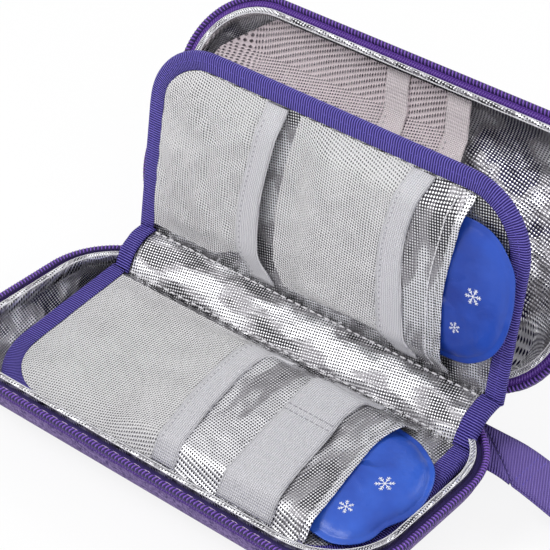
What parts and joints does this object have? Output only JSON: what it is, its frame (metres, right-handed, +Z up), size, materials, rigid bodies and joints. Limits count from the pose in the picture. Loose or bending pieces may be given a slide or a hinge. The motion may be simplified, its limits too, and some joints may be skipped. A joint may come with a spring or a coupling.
{
  "type": "insulin cooling case",
  "caption": "Soft zipped travel case for insulin, open: two insulated shells, a hinged pocket divider with slide-in gel packs and a wrist strap.",
  "frame": {"origin": "centre of the bottom shell's flat underside", "axes": "+X along the hinge towards the wrist strap, +Y towards the hinge side, +Z up"},
  "size_m": [0.3383, 0.1814, 0.1187],
  "materials": {
    "purple_oxford": "matte heathered weave",
    "purple_tape": "woven tape",
    "zip_coil": "satin nylon",
    "binding_grosgrain": "ribbed",
    "strap_webbing": "ribbed",
    "foil_fabric": "silver foil with woven dots",
    "insulation_foam": "soft foam",
    "mesh": "open mesh",
    "elastic": "ribbed elastic",
    "gel_pack": "satin film",
    "zip_metal": "painted"
  },
  "bodies": {
    "bottom_shell": {"bottom_outer_shell": "purple_oxford", "bottom_insulation_foam": "insulation_foam", "bottom_foil_lining": "foil_fabric", "bottom_zip_tape": "purple_tape", "bottom_zip_coil": "zip_coil", "hinge_gusset_lower": "purple_oxford", "wrist_strap_root": "strap_webbing"},
    "lid": {"lid_outer_shell": "purple_oxford", "lid_insulation_foam": "insulation_foam", "lid_foil_lining": "foil_fabric", "lid_zip_tape": "purple_tape", "lid_zip_coil": "zip_coil", "hinge_gusset_upper": "purple_oxford", "lid_mesh_pocket_left": "mesh", "lid_elastic_left": "elastic", "lid_mesh_pocket_right": "mesh", "lid_elastic_right": "elastic"},
    "lower_leaf": {"lower_leaf_board": "foil_fabric", "lower_leaf_binding": "binding_grosgrain", "lower_mesh_pocket": "mesh", "lower_elastic_band": "elastic", "lower_pack_pocket": "foil_fabric", "pen_strap": "elastic"},
    "spine": {"spine_strip": "foil_fabric", "spine_binding_left": "binding_grosgrain", "spine_binding_right": "binding_grosgrain"},
    "upper_leaf": {"upper_leaf_board": "foil_fabric", "upper_leaf_binding": "binding_grosgrain", "upper_mesh_pocket_left": "mesh", "upper_elastic_left": "elastic", "upper_mesh_pocket_right": "mesh", "upper_elastic_right": "elastic", "upper_pack_pocket": "foil_fabric"},
    "lower_ice_pack": {"lower_ice_pack": "gel_pack"},
    "upper_ice_pack": {"upper_ice_pack": "gel_pack"},
    "zip_slider": {"zip_slider": "zip_metal"},
    "zip_pull_tab": {"zip_pull_tab": "zip_metal"},
    "wrist_strap": {"wrist_strap": "strap_webbing"}
  },
  "joints": [
    {"name": "lid_hinge", "type": "hinge", "parent": "bottom_shell", "child": "lid", "pos_m": [0, 0.057, 0.025], "axis": [-1, 0, 0], "range_deg": [-123, 57]},
    {"name": "lower_leaf_tilt", "type": "hinge", "parent": "bottom_shell", "child": "lower_leaf", "pos_m": [0.0015, -0.04, 0.01028], "axis": [1, 0, 0], "range_deg": [-5.2, 2.5]},
    {"name": "spine_fold", "type": "hinge", "parent": "lower_leaf", "child": "spine", "pos_m": [0.0015, 0.039, 0.019], "axis": [-1, 0, 0], "range_deg": [-54.5, 25.4]},
    {"name": "upper_leaf_fold", "type": "hinge", "parent": "spine", "child": "upper_leaf", "pos_m": [0.0015, 0.05583, 0.03123], "axis": [-1, 0, 0], "range_deg": [-47.8, 22.2]},
    {"name": "lower_pack_slide", "type": "slide", "parent": "lower_leaf", "child": "lower_ice_pack", "axis": [1, 0, 0], "range_m": [-0.008, 0.0015]},
    {"name": "upper_pack_slide", "type": "slide", "parent": "upper_leaf", "child": "upper_ice_pack", "axis": [1, 0, 0], "range_m": [-0.008, 0.004]},
    {"name": "zip_run", "type": "slide", "parent": "bottom_shell", "child": "zip_slider", "axis": [-1, 0, 0], "range_m": [0, 0.004]},
    {"name": "pull_tab_swing", "type": "hinge", "parent": "zip_slider", "child": "zip_pull_tab", "pos_m": [-0.0608, 0.05635, 0.02225], "axis": [0, 1, 0], "range_deg": [-30, 30]},
    {"name": "wrist_strap_lift", "type": "hinge", "parent": "bottom_shell", "child": "wrist_strap", "pos_m": [0.10027, 0.04095, 0.0174], "axis": [0.7904, -0.6126, 0], "range_deg": [0, 60]}
  ],
  "couplings": [
    {"joint": "lower_leaf_tilt", "follows": "lid_hinge", "ratio": 0.041},
    {"joint": "spine_fold", "follows": "lid_hinge", "ratio": 0.441},
    {"joint": "upper_leaf_fold", "follows": "lid_hinge", "ratio": 0.387}
  ]
}
